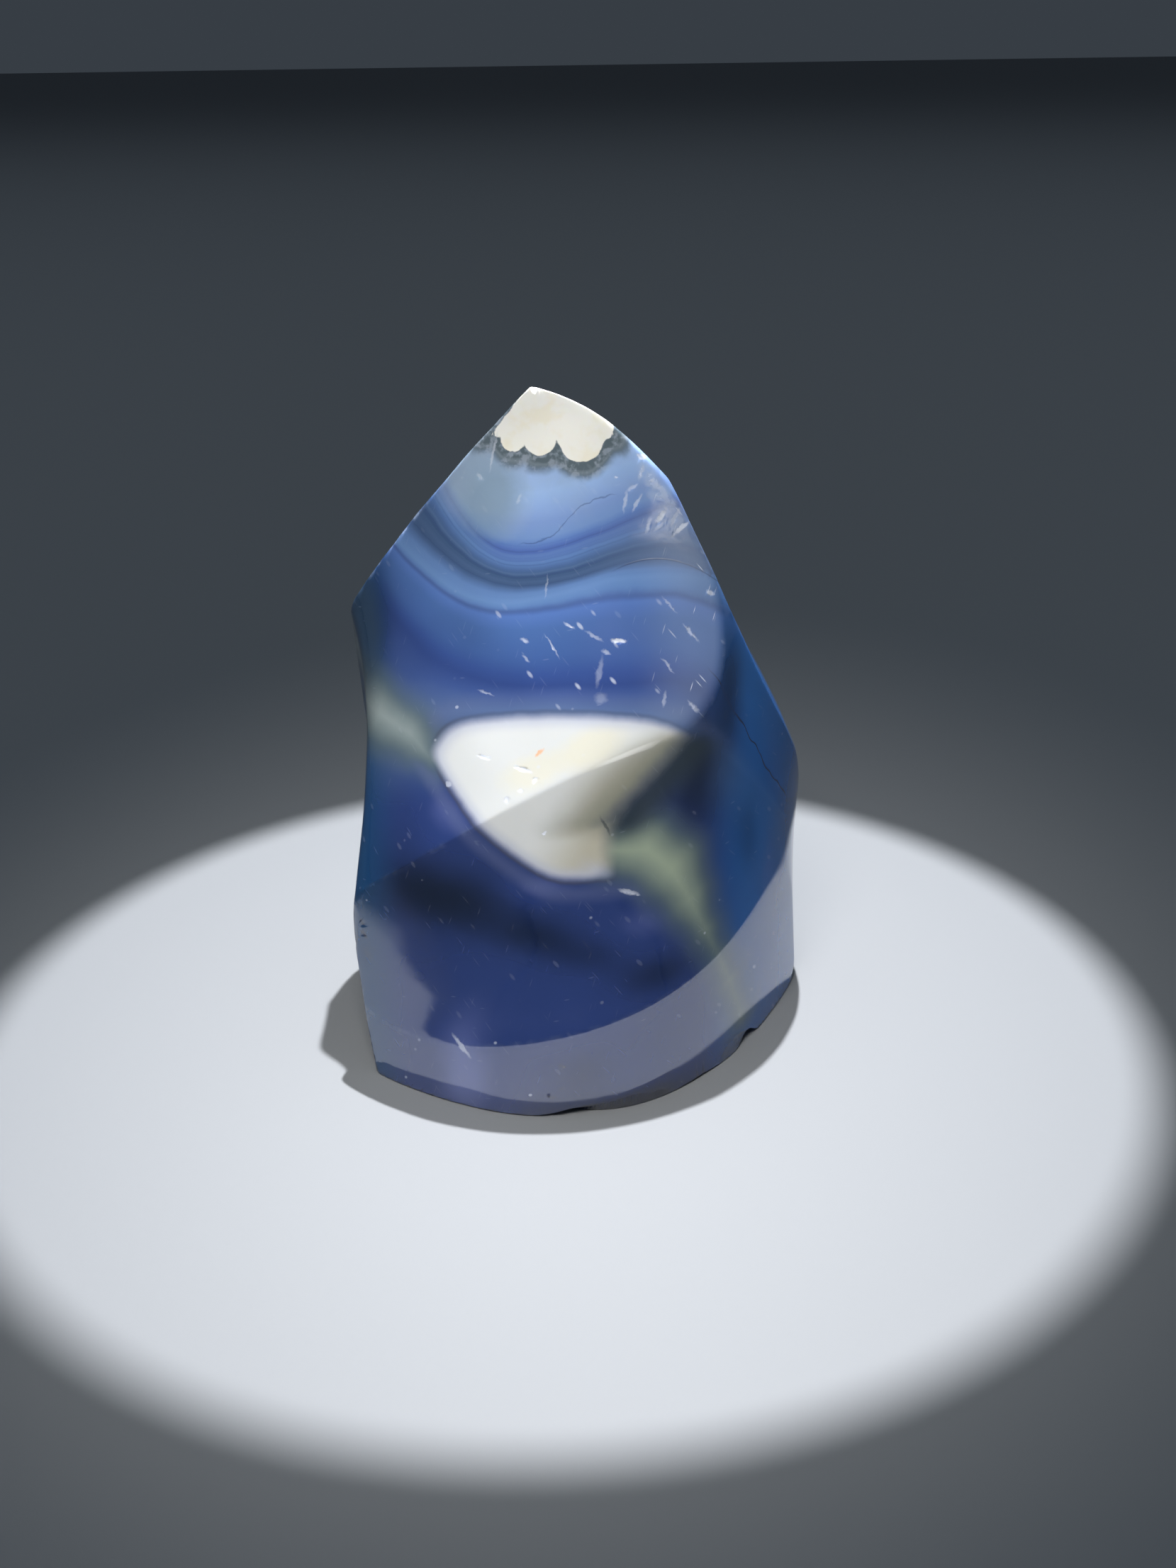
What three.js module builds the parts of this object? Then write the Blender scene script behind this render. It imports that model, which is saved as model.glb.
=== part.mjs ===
// A polished agate freeform: one natural stone, ground by hand into a short flame that stands on a flat
// base. Millimetres, +Z up, the banded front towards -Y. The origin is on the base, under the middle of the
// stone.
import * as THREE from "three";
import { mergeVertices } from "three/addons/utils/BufferGeometryUtils.js";

// Every face is measured from the heart, a point inside the stone and a little to the front of its middle.
const HEART = new THREE.Vector3(-0.9, -2.1, 30);

// The faces are ground on a soft belt, so none is quite flat. A bulge is stated as the millimetres by which
// a face falls away one span from its own middle, and a hollow is a negative bulge.
const SPAN = 20;

// facing: the way a face looks round the stone, in degrees, 0 along +X and -90 to the front.
// lean: how far it leans back from upright, in degrees.
// reach: from the heart to the face's middle.
// across and along: its bulge from side to side and from foot to top.
// twist: how far the two opposite corners fall away and the other two rise.
// curl: a bulge at the top that is a hollow at the foot.
// fan: a sideways bulge that is stronger at the top.

// The large front face, from the tip down to the ridge that climbs across the stone.
const FRONT = {
  facing: -90, lean: 26, reach: 15.7,
  across: 7.8, along: -0.5, twist: -1.4, curl: -0.1, fan: -0.8,
};

// The hollow left side, which the front face rounds over into.
const SHOULDER = {
  facing: 173, lean: -4.5, reach: 23.9,
  across: -6.4, along: 1.7, twist: 3.4, curl: -1.5, fan: 2.1,
};

// The broad sweep under the climbing ridge, and the right flank that it runs on into.
const SWEEP = {
  facing: -80.5, lean: 12.5, reach: 14.8,
  across: 6.6, along: -0.3, twist: -0.3, curl: 0.6, fan: -2.5,
};
const FLANK = {
  facing: -42.5, lean: 15.5, reach: 20,
  across: 3.2, along: 0.2, twist: -2.2, curl: 0.5, fan: -2,
};

// The upright band round the foot, and its end at the right.
const FOOT = {
  facing: -82, lean: 1, reach: 20.4,
  across: 9.9, along: 0.8, twist: -1.9, curl: 0.8, fan: -0.4,
};
const HEEL = {
  facing: -17, lean: -5, reach: 27.1,
  across: 3.5, along: -2, twist: 2.5, curl: 0.2, fan: 0.2,
};

// The faces behind: a round one at the right, the tall middle one, a steep roof at the left of the tip and a
// small one at its right.
const BACK_RIGHT = {
  facing: 19, lean: 31, reach: 26.5,
  across: 13.5, along: 1.4, twist: 5.2, curl: -1.3, fan: -4.5,
};
const BACK = {
  facing: 95, lean: 13.5, reach: 24.4,
  across: 2, along: 2.2, twist: -0.8, curl: -0.3, fan: 0,
};
const BACK_LEFT = {
  facing: 151, lean: 37.5, reach: 34,
  across: -0.9, along: 1.2, twist: -2.9, curl: -0.5, fan: 2,
};
const NAPE = {
  facing: 47, lean: 40, reach: 29,
  across: 6.5, along: 0, twist: 2.4, curl: -0.4, fan: -0.3,
};

// Faces that run into each other over a soft shoulder, with the width of its rounding.
const SOFT_PAIRS = [
  { faces: [FRONT, SHOULDER], softness: 0.8 },
  { faces: [SWEEP, FLANK], softness: 1.2 },
  { faces: [FOOT, HEEL], softness: 2 },
];
const CRISP_FACES = [BACK_RIGHT, BACK, BACK_LEFT, NAPE];

// The surface is a ball's triangles pushed out from the heart. The ball is drawn out towards the tip first,
// so that the triangles come out alike in size. Its radius is more than the stone needs anywhere.
const EDGE_CUTS = 20;
const BALL_STRETCH = 1.6;
const BALL_RADIUS = 60;

// A third face may shave a ridge by this much, and the ridge still counts as one.
const RIDGE_SHAVING = 0.3;

// How closely the surface is found, the step for measuring a slope, and the steps taken to reach a ridge.
const SURFACE_TOLERANCE = 1e-4;
const SLOPE_STEP = 0.01;
const RIDGE_STEPS = 8;

// How far a point stands out of one ground face, negative inside the stone.
function outsideFace(face, point) {
  const facing = THREE.MathUtils.degToRad(face.facing);
  const lean = THREE.MathUtils.degToRad(face.lean);
  const outward = new THREE.Vector3(
    Math.cos(facing) * Math.cos(lean),
    Math.sin(facing) * Math.cos(lean),
    Math.sin(lean),
  );
  const sideways = new THREE.Vector3(-Math.sin(facing), Math.cos(facing), 0);
  const upwards = new THREE.Vector3().crossVectors(outward, sideways);
  const offset = new THREE.Vector3().subVectors(point, HEART);
  const u = offset.dot(sideways) / SPAN;
  const v = offset.dot(upwards) / SPAN;
  const bulge = face.across * u * u + face.along * v * v + face.twist * u * v
    + face.curl * v * v * v + face.fan * u * u * v;
  return offset.dot(outward) - face.reach + bulge;
}

// The larger of two distances, rounded over where they are nearly equal.
function softMax(a, b, softness) {
  return Math.max(a, b) + softness * Math.log1p(Math.exp(-Math.abs(a - b) / softness));
}

// The cuts that shape the stone: each says how far a point stands outside it. The last is the flat base.
const CUTS = [
  ...SOFT_PAIRS.map(({ faces: [first, second], softness }) => (
    (point) => softMax(outsideFace(first, point), outsideFace(second, point), softness)
  )),
  ...CRISP_FACES.map((face) => (point) => outsideFace(face, point)),
  (point) => -point.z,
];

function outsideStone(point) {
  return Math.max(...CUTS.map((cut) => cut(point)));
}

// The point where the ray from the heart leaves the stone, found by halving.
function surfacePoint(direction) {
  let inner = 0;
  let outer = BALL_RADIUS;
  const point = new THREE.Vector3();
  while (outer - inner > SURFACE_TOLERANCE) {
    const middle = (inner + outer) / 2;
    point.copy(HEART).addScaledVector(direction, middle);
    if (outsideStone(point) < 0) {
      inner = middle;
    } else {
      outer = middle;
    }
  }
  return point;
}

// The direction in which a cut's distance grows, by small steps along the axes.
function cutSlope(cut, point) {
  const axes = [new THREE.Vector3(1, 0, 0), new THREE.Vector3(0, 1, 0), new THREE.Vector3(0, 0, 1)];
  const rises = axes.map((axis) => {
    const ahead = point.clone().addScaledVector(axis, SLOPE_STEP);
    const behind = point.clone().addScaledVector(axis, -SLOPE_STEP);
    return (cut(ahead) - cut(behind)) / (2 * SLOPE_STEP);
  });
  return new THREE.Vector3(...rises);
}

// The cut that reaches furthest out at a point, which is the one whose face the point lies on.
function topCut(point) {
  const heights = CUTS.map((cut) => cut(point));
  return CUTS[heights.indexOf(Math.max(...heights))];
}

// The nearest point to this one that lies on both cuts, which is on the ridge between them.
function ridgePoint(point, first, second) {
  const found = point.clone();
  for (let i = 0; i < RIDGE_STEPS; i += 1) {
    const a = cutSlope(first, found);
    const b = cutSlope(second, found);
    const aa = a.dot(a);
    const ab = a.dot(b);
    const bb = b.dot(b);
    const spread = aa * bb - ab * ab;
    const riseA = first(found);
    const riseB = second(found);
    found.addScaledVector(a, (ab * riseB - bb * riseA) / spread);
    found.addScaledVector(b, (ab * riseA - aa * riseB) / spread);
  }
  return found;
}

// Where a mesh edge joins two faces, its end nearer to the ridge is drawn onto the ridge, so that the ridge
// comes out crisp. An end that another edge has drawn already lies on a ridge and stays.
function drawOntoRidges(points, faces, index) {
  const drawn = new Set();
  for (let i = 0; i < index.count; i += 1) {
    const a = index.getX(i);
    const b = index.getX(i % 3 === 2 ? i - 2 : i + 1);
    if (faces[a] === faces[b] || drawn.has(a) || drawn.has(b)) {
      continue;
    }
    const ends = [a, b].map((end) => {
      const ridge = ridgePoint(points[end], faces[a], faces[b]);
      return { end, ridge, pull: ridge.distanceTo(points[end]) };
    });
    const onStone = ends.filter(({ ridge }) => outsideStone(ridge) < RIDGE_SHAVING);
    if (onStone.length > 0) {
      const nearest = onStone.reduce((best, other) => (other.pull < best.pull ? other : best));
      points[nearest.end] = surfacePoint(nearest.ridge.sub(HEART).normalize());
      drawn.add(nearest.end);
    }
  }
}

function stoneGeometry() {
  const ball = new THREE.IcosahedronGeometry(1, EDGE_CUTS);
  ball.deleteAttribute("normal");
  ball.deleteAttribute("uv");
  const geometry = mergeVertices(ball);
  const position = geometry.attributes.position;
  const stretch = new THREE.Vector3(1, 1, BALL_STRETCH);
  const points = [];
  for (let i = 0; i < position.count; i += 1) {
    const direction = new THREE.Vector3().fromBufferAttribute(position, i).multiply(stretch).normalize();
    points.push(surfacePoint(direction));
  }
  drawOntoRidges(points, points.map(topCut), geometry.index);
  points.forEach((point, i) => position.setXYZ(i, point.x, point.y, point.z));
  geometry.computeVertexNormals();
  return geometry;
}

const agate = new THREE.MeshStandardMaterial({ color: 0x46609f, roughness: 0.12, metalness: 0 });
const stone = new THREE.Mesh(stoneGeometry(), agate);
stone.name = "stone";

const freeform = new THREE.Group();
freeform.add(stone);

export default freeform;
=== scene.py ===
import bpy
import numpy as np
from mathutils import Matrix, Vector


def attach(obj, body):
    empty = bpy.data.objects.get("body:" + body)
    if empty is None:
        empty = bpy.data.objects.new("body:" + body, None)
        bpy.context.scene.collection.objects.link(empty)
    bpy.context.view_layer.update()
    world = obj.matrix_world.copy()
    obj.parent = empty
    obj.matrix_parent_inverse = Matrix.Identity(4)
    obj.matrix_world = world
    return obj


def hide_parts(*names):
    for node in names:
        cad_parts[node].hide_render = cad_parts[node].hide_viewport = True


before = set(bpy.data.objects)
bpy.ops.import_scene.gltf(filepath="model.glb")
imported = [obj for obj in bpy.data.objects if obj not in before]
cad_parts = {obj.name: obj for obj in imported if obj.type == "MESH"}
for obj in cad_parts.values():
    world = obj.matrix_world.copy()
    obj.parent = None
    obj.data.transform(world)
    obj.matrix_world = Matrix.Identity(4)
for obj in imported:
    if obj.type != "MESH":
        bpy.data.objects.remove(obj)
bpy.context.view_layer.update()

# The stone
# One natural agate, ground by hand on a soft belt into a short twisted flame and polished all over. It stands
# on its own flat base. Its sizes are in millimetres, and become metres when the mesh is built.
MILLIMETRE = 0.001

# Every face is measured from the heart, a point inside the stone and a little to the front of its middle.
HEART = np.array([-0.9, -2.1, 30.0])

# facing: the way a face looks round the stone, in degrees, 0 along +X and -90 to the front.
# lean: how far it leans back from upright, in degrees.
# reach: from the heart to the face's middle.
# across and along: by how much it falls away one span from its middle, sideways and up or down.
# twist, curl and fan: how its corners, its top and its upper sides fall away, where its foot or others rise.
SPAN = 20.0
FRONT = dict(facing=-90, lean=26, reach=15.7, across=7.8, along=-0.5, twist=-1.4, curl=-0.1, fan=-0.8)
SHOULDER = dict(facing=173, lean=-4.5, reach=23.9, across=-6.4, along=1.7, twist=3.4, curl=-1.5, fan=2.1)
SWEEP = dict(facing=-80.5, lean=12.5, reach=14.8, across=6.6, along=-0.3, twist=-0.3, curl=0.6, fan=-2.5)
FLANK = dict(facing=-42.5, lean=15.5, reach=20, across=3.2, along=0.2, twist=-2.2, curl=0.5, fan=-2)
FOOT = dict(facing=-82, lean=1, reach=20.4, across=9.9, along=0.8, twist=-1.9, curl=0.8, fan=-0.4)
HEEL = dict(facing=-17, lean=-5, reach=27.1, across=3.5, along=-2, twist=2.5, curl=0.2, fan=0.2)
BACK_RIGHT = dict(facing=19, lean=31, reach=26.5, across=13.5, along=1.4, twist=5.2, curl=-1.3, fan=-4.5)
BACK = dict(facing=95, lean=13.5, reach=24.4, across=2, along=2.2, twist=-0.8, curl=-0.3, fan=0)
BACK_LEFT = dict(facing=151, lean=37.5, reach=34, across=-0.9, along=1.2, twist=-2.9, curl=-0.5, fan=2)
NAPE = dict(facing=47, lean=40, reach=29, across=6.5, along=0, twist=2.4, curl=-0.4, fan=-0.3)

# Three pairs of faces run into each other over a soft shoulder. The other ridges are only broken by the
# polishing, which also leaves faint waves in the faces. The sweep flares a little at its foot. The front of the
# foot swells out at its left and turns in at the base.
FRONT_SOFTNESS = 0.8
SWEEP_SOFTNESS = 1.2
FOOT_SOFTNESS = 2.0
EDGE_ROUNDING = 0.05
UNDERCUT = 0.7
UNDERCUT_HEIGHT = 6.5
SWELL = 0.25
SWELL_MIDDLE = -12.0
SWELL_REACH = 7.0
FLARE = 0.009
FLARE_HEIGHT = 12.0
RIPPLE_HEIGHT = 0.02
RIPPLE_LENGTH = 9.0


def outside_face(face, points):
    """How far points stand out of a ground face: their height over its plane plus its bulges, which grow
    with the distances u sideways and v upwards from the face's middle, both counted in spans."""
    facing = np.radians(face["facing"])
    lean = np.radians(face["lean"])
    outward = np.array([np.cos(facing) * np.cos(lean), np.sin(facing) * np.cos(lean), np.sin(lean)])
    sideways = np.array([-np.sin(facing), np.cos(facing), 0.0])
    upwards = np.cross(outward, sideways)
    offset = points - HEART
    u = offset @ sideways / SPAN
    v = offset @ upwards / SPAN
    bulge = face["across"] * u**2 + face["along"] * v**2 + face["twist"] * u * v
    bulge += face["curl"] * v**3 + face["fan"] * u**2 * v
    return offset @ outward - face["reach"] + bulge


def soft_max(a, b, softness):
    """The larger of two distances, rounded over where they are nearly equal."""
    return np.maximum(a, b) + softness * np.log1p(np.exp(-np.abs(a - b) / softness))


def cuts_at(points):
    """How far points stand outside each cut of the stone, one row for each cut. The last is the flat base. The
    foot turns in by the square of the way down to the base, less and less towards its two ends, and swells out
    by a bell over x and z. The sweep flares by the square of the way down from a height."""
    x, z = points[:, 0], points[:, 2]
    turned_in = UNDERCUT * np.clip(1 - z / UNDERCUT_HEIGHT, 0, 1) ** 2
    turned_in *= np.clip((x + 23) / 9, 0, 1) * np.clip((17 - x) / 15, 0, 1)
    flare = FLARE * np.maximum(FLARE_HEIGHT - z, 0) ** 2
    swell = SWELL * np.exp(-(((x - SWELL_MIDDLE) / SWELL_REACH) ** 2) - (z / SWELL_REACH) ** 2)
    return np.stack(
        [
            soft_max(outside_face(FRONT, points), outside_face(SHOULDER, points), FRONT_SOFTNESS),
            soft_max(outside_face(SWEEP, points) - flare, outside_face(FLANK, points), SWEEP_SOFTNESS),
            soft_max(outside_face(FOOT, points) + turned_in - swell, outside_face(HEEL, points), FOOT_SOFTNESS),
            outside_face(BACK_RIGHT, points),
            outside_face(BACK, points),
            outside_face(BACK_LEFT, points),
            outside_face(NAPE, points),
            -points[:, 2],
        ]
    )


def waves(points, length):
    """Smooth irregular waves between about -1 and 1: the mean of sines that run in four directions."""
    runs = np.array([[0.9, 0.3, 0.5], [-0.4, 0.8, 0.7], [0.5, -0.7, 0.9], [0.2, 0.6, -1.1]])
    angles = points @ runs.T * (2 * np.pi / length) + np.array([0.4, 1.9, 3.1, 4.6])
    return np.sin(angles).mean(axis=1) * 2


# Knocks have chipped small flecks out of the polish of the front faces. Each has the x and z of its middle, its
# length and width, the angle at which it climbs to the right, its depth, and how pale it is, less than 0 for a
# dark one.
FLECKS = [
    (4.0, 51.6, 1.7, 0.60, -8, 0.05, 1.0),
    (-6.2, 51.7, 1.2, 0.55, -20, 0.015, 0.5),
    (-6.1, 49.8, 1.2, 0.40, -42, 0.01, 0.4),
    (-1.3, 53.3, 1.5, 0.30, -25, 0.008, 0.4),
    (1.4, 52.2, 2.3, 0.40, -32, 0.008, 0.4),
    (2.7, 50.5, 1.2, 0.50, -20, 0.012, 0.45),
    (1.9, 48.6, 3.4, 0.70, 76, 0.01, 0.25),
    (2.0, 45.9, 1.6, 1.20, 0, 0.01, 0.2),
    (-3.2, 51.2, 3.0, 0.26, -58, 0.01, 0.4),
    (-10.7, 46.0, 1.9, 0.30, -12, 0.01, 0.45),
    (5.1, 65.8, 2.6, 0.38, 80, 0.01, 0.5),
    (5.9, 67.2, 1.6, 0.40, 27, 0.01, 0.45),
    (6.4, 65.6, 2.2, 0.36, 58, 0.01, 0.5),
    (6.9, 68.7, 1.8, 0.50, 70, 0.01, 0.45),
    (7.6, 63.1, 1.6, 0.50, 63, 0.02, 0.55),
    (9.0, 64.0, 1.9, 0.70, 50, 0.05, 1.0),
    (8.9, 63.1, 2.0, 0.50, 30, 0.02, 0.45),
    (10.5, 63.7, 2.4, 0.55, 60, 0.02, 0.5),
    (11.2, 62.6, 2.4, 0.60, 35, 0.05, 1.0),
    (7.0, 70.3, 1.2, 0.60, -20, 0.04, 0.8),
    (4.1, 68.3, 0.5, 0.35, 0, 0.01, 0.7),
    (14.5, 55.5, 1.1, 0.60, -30, 0.07, 0.8),
    (12.2, 51.6, 3.0, 0.35, -50, 0.02, 0.5),
    (9.8, 54.8, 2.6, 0.26, -50, 0.01, 0.35),
    (9.5, 48.6, 2.4, 0.28, -50, 0.01, 0.4),
    (9.0, 45.2, 1.8, 0.45, 80, 0.01, 0.35),
    (12.3, 43.9, 2.0, 0.45, -50, 0.02, 0.5),
    (-6.5, 66.0, 1.2, 0.40, 62, 0.01, 0.4),
    (-9.2, 70.6, 4.4, 0.35, 78, 0.01, 0.6),
    (-10.8, 68.0, 1.0, 0.45, -40, 0.02, 0.5),
    (-3.7, 57.2, 2.6, 0.26, 82, 0.01, 0.3),
    (-11.0, 39.6, 1.8, 0.45, -3, 0.04, 1.0),
    (-6.7, 38.8, 2.3, 0.55, -14, 0.05, 1.0),
    (-15.1, 36.2, 0.6, 0.60, 0, 0.03, 0.6),
    (-4.5, 32.2, 0.8, 0.35, 30, 0.03, 1.0),
    (-5.4, 37.8, 0.9, 0.60, 30, 0.03, 1.0),
    (-8.6, 35.6, 0.9, 0.60, 50, 0.03, 1.0),
    (-7.0, 36.7, 0.7, 0.45, 20, 0.02, 0.9),
    (4.8, 25.0, 2.7, 0.50, -22, 0.05, 0.6),
    (-14.5, 7.3, 3.2, 0.60, -46, 0.04, 0.6),
    (-26.1, 18.3, 1.1, 0.60, -65, 0.05, -0.8),
    (-25.8, 16.8, 1.3, 0.70, -60, 0.06, -0.9),
    (-25.6, 14.5, 2.0, 1.00, -60, 0.02, -0.4),
    (-3.1, 6.4, 1.2, 0.36, -15, 0.04, -0.9),
    (-3.2, 3.6, 1.1, 0.36, 25, 0.04, -0.8),
    (-4.4, 2.6, 1.4, 0.40, -5, 0.05, -1.0),
    (18.5, 1.6, 0.7, 0.45, 30, 0.05, -0.9),
]

# Deeper chips along the edges and a few open pits: the middle of each as x, y and z, and its radius.
CHIPS = [
    (1.3, -24.2, 0.0, 0.35),
    (3.6, -23.5, 0.1, 0.50),
    (4.4, -23.2, 0.0, 0.35),
    (7.3, -21.7, 0.0, 0.40),
    (12.9, -17.2, 0.1, 0.40),
    (13.7, -16.5, 0.0, 0.55),
]


def under_front(points):
    """The depth of points under the front faces."""
    faces = (FRONT, SWEEP, FLANK, FOOT, HEEL)
    return np.maximum(-np.max([outside_face(face, points) for face in faces], axis=0), 0)


def flecks_at(points):
    """The depth of the flecks: each is a bowl, its depth times one less the square of the distance from its
    middle, counted in half lengths and half widths. They fade out under the front."""
    x, z = points[:, 0], points[:, 2]
    deepest = np.zeros(len(points))
    for middle_x, middle_z, length, width, climb, depth, _ in FLECKS:
        run, lift = np.cos(np.radians(climb)), np.sin(np.radians(climb))
        along = (run * (x - middle_x) + lift * (z - middle_z)) / (length / 2)
        across = (run * (z - middle_z) - lift * (x - middle_x)) / (width / 2)
        deepest = np.maximum(deepest, depth * (1 - along**2 - across**2))
    return deepest * np.clip(2 - under_front(points), 0, 1)


def outside_stone(points):
    """How far points stand outside the stone: the largest cut, rounded over at the ridges by the log of the
    sum of the cuts' exponentials, plus the polishing waves, which fade out at the base, plus the flecks. A
    chip takes away all that is nearer to its middle than its radius."""
    cuts = cuts_at(points)
    largest = cuts.max(axis=0)
    rounding = EDGE_ROUNDING * np.log(np.exp((cuts - largest) / EDGE_ROUNDING).sum(axis=0))
    fading = np.clip(points[:, 2] / RIPPLE_LENGTH, 0, 1)
    outside = largest + rounding + RIPPLE_HEIGHT * fading * waves(points, RIPPLE_LENGTH) + flecks_at(points)
    for x, y, z, radius in CHIPS:
        outside = np.maximum(outside, radius - np.linalg.norm(points - (x, y, z), axis=1))
    return outside


def slopes_of(distance, points):
    """The direction in which a distance grows at each point, by small steps along the three axes."""
    step = 0.005
    ahead = [distance(points + step * axis) - distance(points - step * axis) for axis in np.eye(3)]
    return np.stack(ahead, axis=-1) / (2 * step)


def surface_points(directions):
    """Where rays from the heart leave the stone, found by halving the part of the ray that holds the point."""
    inner = np.zeros(len(directions))
    outer = np.full(len(directions), 60.0)
    for _ in range(26):
        middle = (inner + outer) / 2
        inside = outside_stone(HEART + directions * middle[:, None]) < 0
        inner = np.where(inside, middle, inner)
        outer = np.where(inside, outer, middle)
    return HEART + directions * inner[:, None]


def unit(vectors):
    return vectors / np.linalg.norm(vectors, axis=-1, keepdims=True)


# The surface is a grid of rings round the line from the base to the tip, closed by one point at each end.
# The rings are close together down to the edge of the base, and few under it.
SIDE_RINGS = 280
BASE_RINGS = 14
RING_POINTS = 324
BASE_RINGS_START = np.radians(143)
TO_TIP = np.array([-0.12, 0.1, 1.6])
TO_BASE = np.array([0.0, 0.0, -1.0])


def ring_directions():
    """Directions from the heart: the tip's, then ring by ring the sine of the ring's angle sideways plus its
    cosine towards the tip or the base, then the base's."""
    side = np.linspace(0, BASE_RINGS_START, SIDE_RINGS + 1)[1:]
    base = np.linspace(BASE_RINGS_START, np.pi, BASE_RINGS + 1)[1:-1]
    down = np.concatenate([side, base])[:, None]
    turn = np.linspace(0, 2 * np.pi, RING_POINTS, endpoint=False)[None, :]
    rise = np.cos(down) * np.ones_like(turn)
    sideways = np.stack([np.sin(down) * np.cos(turn), np.sin(down) * np.sin(turn), 0 * rise], axis=-1)
    upright = np.where(rise[..., None] > 0, rise[..., None] * TO_TIP, -rise[..., None] * TO_BASE)
    rings = (sideways + upright).reshape(-1, 3)
    return unit(np.concatenate([TO_TIP[None], rings, TO_BASE[None]]))


# Points this near to a ridge are drawn towards it along their face, so that the ridge comes out sharp.
RIDGE_PULL = 1.1
RIDGE_CROWDING = 2.2


def drawn_to_ridges(points):
    """Each point at the distance d from a ridge goes to RIDGE_PULL times d over RIDGE_PULL, to a power. The
    distance is the gap between the two largest cuts over the rate at which it closes along the face. The
    distances up to RIDGE_PULL come second."""
    cuts = cuts_at(points)
    slopes = slopes_of(cuts_at, points)
    column = np.arange(len(points))
    top = cuts.argmax(axis=0)
    outward = unit(slopes[top, column])
    closing = slopes - slopes[top, column]
    closing -= (closing * outward).sum(axis=-1, keepdims=True) * outward
    rate = np.maximum(np.linalg.norm(closing, axis=-1), 1e-6)
    distance = (cuts[top, column] - cuts) / rate
    distance[top, column] = np.inf
    nearest = distance.argmin(axis=0)
    near = np.minimum(distance[nearest, column], RIDGE_PULL)
    drawn = RIDGE_PULL * (near / RIDGE_PULL) ** RIDGE_CROWDING
    towards = closing[nearest, column] / rate[nearest, column][:, None]
    return points + towards * (near - drawn)[:, None], near


def ring_triangles(normals):
    """The grid's triangles. Each four-sided cell is halved along the diagonal whose ends lean most alike, so
    that a ridge runs along edges, and fans of triangles close the two ends."""
    rings = (len(normals) - 2) // RING_POINTS
    index = 1 + np.arange(rings * RING_POINTS).reshape(rings, RING_POINTS)
    beside = np.roll(index, -1, axis=1)
    a, b = index[:-1].ravel(), beside[:-1].ravel()
    d, c = index[1:].ravel(), beside[1:].ravel()
    first = (normals[a] * normals[c]).sum(axis=1) > (normals[b] * normals[d]).sum(axis=1)
    upper = np.where(first[:, None], np.stack([a, d, c], axis=1), np.stack([a, d, b], axis=1))
    lower = np.where(first[:, None], np.stack([a, c, b], axis=1), np.stack([b, d, c], axis=1))
    last = len(normals) - 1
    tip = np.stack([np.zeros(RING_POINTS, int), index[0], beside[0]], axis=1)
    base = np.stack([np.full(RING_POINTS, last), beside[-1], index[-1]], axis=1)
    return np.concatenate([tip, upper, lower, base])


rough_points = surface_points(ring_directions())
points = surface_points(unit(drawn_to_ridges(rough_points)[0] - HEART))
normals = unit(slopes_of(outside_stone, points))
stone_mesh = bpy.data.meshes.new("agate")
stone_mesh.from_pydata((points * MILLIMETRE).tolist(), [], ring_triangles(normals).tolist())
stone_mesh.shade_smooth()
stone_mesh.normals_split_custom_set_from_vertices(normals)

# The markings run through the whole stone. On the front they are placed by their distance x to the right of
# the base's middle and their height z, and behind it they drift with the depth under the front faces.


def smooth_step(value, low, high):
    """0 below low and 1 above high, with a smooth rise between them."""
    share = np.clip((value - low) / (high - low), 0, 1)
    return share**2 * (3 - 2 * share)


# The bands hang across the front like slack ropes. Each is drawn by the x and the height of its lowest point,
# how far it climbs at the left, how far it climbs over a stretch at the right, and how far its end droops.
BAND_DROOP_START = 8.5
BAND_LINES = [
    dict(lowest=-9.0, height=47.2, left=3.2, right=0.2, over=14, droop=8.5),
    dict(lowest=-9.3, height=54.4, left=3.8, right=1.7, over=14, droop=4.8),
    dict(lowest=-9.0, height=55.3, left=3.7, right=2.6, over=14, droop=2.0),
    dict(lowest=-7.0, height=57.1, left=3.9, right=2.5, over=14, droop=6.0),
    dict(lowest=-7.6, height=60.8, left=11.8, right=5.0, over=22, droop=0.0),
]


def band_height(line, x):
    """A band line's height at x: parabolas at the left and past the right end, a smooth step between them."""
    away = x - line["lowest"]
    climb = line["left"] * (np.minimum(away, 0) / 10) ** 2 + line["right"] * smooth_step(away, 0, line["over"])
    return line["height"] + climb - line["droop"] * (np.maximum(x - BAND_DROOP_START, 0) / 10) ** 2


def body_top(x):
    """The height of the white body's upper edge at x, a flat arch that droops more at the right."""
    return 44.5 - 0.012 * (x + 2) ** 2 - 0.03 * np.maximum(x - 6, 0) ** 2


def bands_at(points):
    """The height that each point would have under the lowest point of the bands: 44.5 at the white body's
    edge, then line by line, and in between in proportion."""
    depth = under_front(points)
    x = points[:, 0] + 0.25 * depth + 1.6 * np.sin(depth / 7)
    z = points[:, 2] - 1.8 * np.sin(depth / 9) + 0.02 * depth * waves(points, 21)
    heights = [body_top(x)] + [band_height(line, x) for line in BAND_LINES]
    named = [44.5] + [line["height"] for line in BAND_LINES]
    bands = named[0] + np.minimum(z - heights[0], 0)
    for lower, upper, first, second in zip(heights[:-1], heights[1:], named[:-1], named[1:]):
        bands += (second - first) * np.clip((z - lower) / np.maximum(upper - lower, 0.3), 0, 1)
    return bands + np.maximum(z - heights[-1], 0)


def beyond(x, z, start, end):
    """How far (x, z) lies to the left of the line from start to end."""
    run = unit(np.array([end[0] - start[0], end[1] - start[1]]))
    return run[0] * (z - start[1]) - run[1] * (x - start[0])


def soft_min(a, b, softness):
    return -soft_max(-a, -b, softness)


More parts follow.
